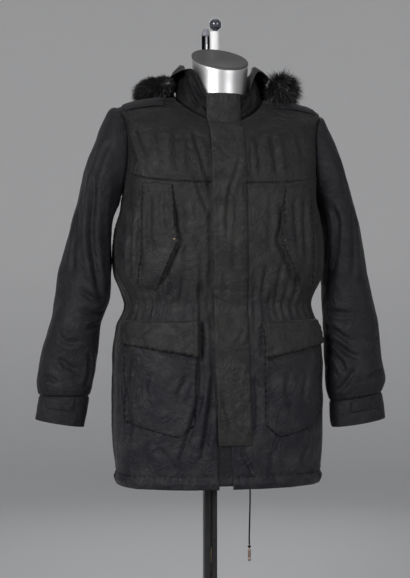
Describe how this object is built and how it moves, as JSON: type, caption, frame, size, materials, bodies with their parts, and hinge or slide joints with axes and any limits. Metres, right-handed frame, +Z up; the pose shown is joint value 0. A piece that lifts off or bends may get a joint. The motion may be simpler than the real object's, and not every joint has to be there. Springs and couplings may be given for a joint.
{
  "type": "parka on dress form",
  "caption": "Hip-length charcoal parka with fur-trimmed hood, storm flap, chest and flap pockets, worn by a limbless dress form on a pole with a round base.",
  "frame": {"origin": "middle of the whole part's footprint, on the surface it stands on", "axes": "+Z up, the front of the parka faces -Y, the wearer's left is at +X"},
  "size_m": [0.7554, 0.45, 1.6658],
  "materials": {
    "shell": "charcoal waxed cotton blend, soft sheen",
    "shell_front": "charcoal waxed cotton blend, soft sheen, slightly browner",
    "fur": "long black fur",
    "snap": "aged brass",
    "ring": "dull nickel",
    "form": "smooth grey form",
    "neck_steel": "satin steel",
    "cap": "dark grey, slightly glossy",
    "black_metal": "black paint, satin",
    "knob": "dark glossy",
    "cord": "black braided cord"
  },
  "bodies": {
    "root": {"front_right": "shell_front", "front_left": "shell_front", "yoke_right": "shell_front", "yoke_left": "shell_front", "back": "shell", "sleeve_right": "shell", "sleeve_left": "shell", "cuff_right": "shell", "cuff_left": "shell", "cuff_tab_right": "shell", "cuff_tab_left": "shell", "storm_flap": "shell_front", "under_placket": "shell", "chest_pocket_right": "shell_front", "chest_pocket_left": "shell_front", "pocket_right": "shell_front", "pocket_left": "shell_front", "pocket_flap_right": "shell_front", "pocket_flap_left": "shell_front", "shoulder_strap_right": "shell", "shoulder_strap_left": "shell", "hood": "shell", "fur_trim": "fur", "snap_right": "snap", "snap_left": "snap", "hood_ring": "ring", "torso": "form", "neck": "neck_steel", "neck_cap": "cap", "pole": "black_metal", "pole_socket": "black_metal", "base_plate": "black_metal", "post": "neck_steel", "post_block": "neck_steel", "knob": "knob", "cord": "cord", "cord_knot": "cord", "cord_tip": "snap"}
  },
  "joints": []
}
